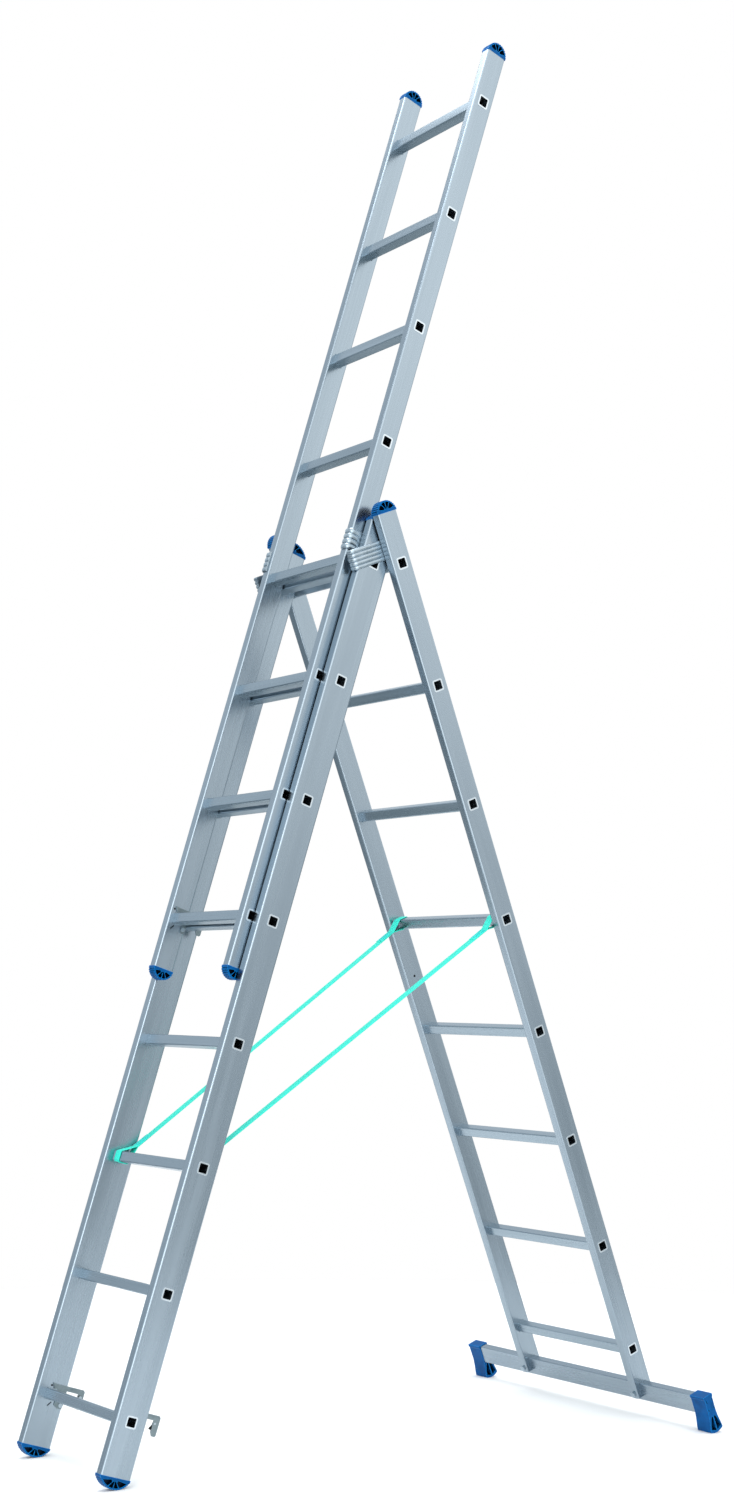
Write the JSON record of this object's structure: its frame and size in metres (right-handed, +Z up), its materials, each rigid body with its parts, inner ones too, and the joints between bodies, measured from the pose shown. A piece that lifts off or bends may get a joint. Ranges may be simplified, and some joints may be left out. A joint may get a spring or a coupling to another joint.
{
  "type": "combination ladder",
  "caption": "Aluminium combination ladder standing as an A-frame with its top section raised, held open by webbing straps on a wide stabiliser bar.",
  "frame": {"origin": "on the floor, in the middle of the ladder's footprint", "axes": "+Z up, +X across the ladder to the right of a person facing the rungs of the front sections, -Y the climbing side and +Y the side of the rear section with the stabiliser bar"},
  "size_m": [0.93, 1.5326, 3.2168],
  "materials": {
    "stile_aluminium": "satin extruded aluminium",
    "rung_aluminium": "mill-finish extruded aluminium",
    "zinc_steel": "galvanised pressed steel",
    "blue_plastic": "moulded plastic",
    "black_plastic": "moulded plastic",
    "webbing": "woven webbing"
  },
  "bodies": {
    "section_b": {"section_b_stile_left": "stile_aluminium", "section_b_stile_right": "stile_aluminium", "section_b_rung_1": "rung_aluminium", "section_b_rung_2": "rung_aluminium", "section_b_rung_3": "rung_aluminium", "section_b_rung_4": "rung_aluminium", "section_b_rung_5": "rung_aluminium", "section_b_rung_6": "rung_aluminium", "section_b_rung_7": "rung_aluminium", "section_b_rung_8": "rung_aluminium", "section_b_cap_top_left": "blue_plastic", "section_b_cap_top_right": "blue_plastic", "section_b_cap_bottom_left": "blue_plastic", "section_b_cap_bottom_right": "blue_plastic", "section_b_hook_left": "zinc_steel", "section_b_hook_right": "zinc_steel", "section_b_rivets": "zinc_steel", "guide_bracket_left": "zinc_steel", "guide_bracket_right": "zinc_steel", "strap_left": "webbing", "strap_right": "webbing"},
    "section_a": {"section_a_stile_left": "stile_aluminium", "section_a_stile_right": "stile_aluminium", "section_a_rung_1": "rung_aluminium", "section_a_rung_2": "rung_aluminium", "section_a_rung_3": "rung_aluminium", "section_a_rung_4": "rung_aluminium", "section_a_rung_5": "rung_aluminium", "section_a_rung_6": "rung_aluminium", "section_a_rung_7": "rung_aluminium", "section_a_rung_8": "rung_aluminium", "section_a_cap_top_left": "blue_plastic", "section_a_cap_top_right": "blue_plastic", "section_a_cap_bottom_left": "blue_plastic", "section_a_cap_bottom_right": "blue_plastic", "section_a_hook_left": "zinc_steel", "section_a_hook_right": "zinc_steel", "section_a_rivets": "zinc_steel"},
    "section_c": {"section_c_stile_left": "stile_aluminium", "section_c_stile_right": "stile_aluminium", "section_c_rung_1": "rung_aluminium", "section_c_rung_2": "rung_aluminium", "section_c_rung_3": "rung_aluminium", "section_c_rung_4": "rung_aluminium", "section_c_rung_5": "rung_aluminium", "section_c_rung_6": "rung_aluminium", "section_c_rung_7": "rung_aluminium", "section_c_rung_8": "rung_aluminium", "section_c_cap_top_left": "blue_plastic", "section_c_cap_top_right": "blue_plastic", "hinge_bracket_left": "zinc_steel", "hinge_bracket_right": "zinc_steel", "stabiliser_bar": "stile_aluminium", "bar_bolts": "zinc_steel", "bar_foot_left": "blue_plastic", "bar_foot_right": "blue_plastic"},
    "latch_a_left": {"section_a_latch_left": "black_plastic"},
    "latch_a_right": {"section_a_latch_right": "black_plastic"},
    "latch_b_left": {"section_b_latch_left": "black_plastic"},
    "latch_b_right": {"section_b_latch_right": "black_plastic"}
  },
  "joints": [
    {"name": "section_a_slide", "type": "slide", "parent": "section_b", "child": "section_a", "axis": [0, 0.314, 0.9494], "range_m": [-1.12, 0]},
    {"name": "fold", "type": "hinge", "parent": "section_b", "child": "section_c", "pos_m": [0, -0.02017, 2.00397], "axis": [1, 0, 0], "range_deg": [-38, 0], "deforming": ["strap_left", "strap_right"]},
    {"name": "latch_a_left_pivot", "type": "hinge", "parent": "section_a", "child": "latch_a_left", "pos_m": [-0.14765, -0.32093, 1.20605], "axis": [1, 0, 0], "range_deg": [0, 20], "stiffness_Nm_per_rad": 0.01, "springref_deg": -25},
    {"name": "latch_a_right_pivot", "type": "hinge", "parent": "section_a", "child": "latch_a_right", "pos_m": [0.14765, -0.32093, 1.20605], "axis": [1, 0, 0], "range_deg": [0, 20], "stiffness_Nm_per_rad": 0.01, "springref_deg": -25},
    {"name": "latch_b_left_pivot", "type": "hinge", "parent": "section_b", "child": "latch_b_left", "pos_m": [-0.17515, -0.62228, 0.12605], "axis": [1, 0, 0], "range_deg": [0, 45], "stiffness_Nm_per_rad": 0.01, "springref_deg": -5.73},
    {"name": "latch_b_right_pivot", "type": "hinge", "parent": "section_b", "child": "latch_b_right", "pos_m": [0.17515, -0.62228, 0.12605], "axis": [1, 0, 0], "range_deg": [0, 45], "stiffness_Nm_per_rad": 0.01, "springref_deg": -5.73}
  ]
}
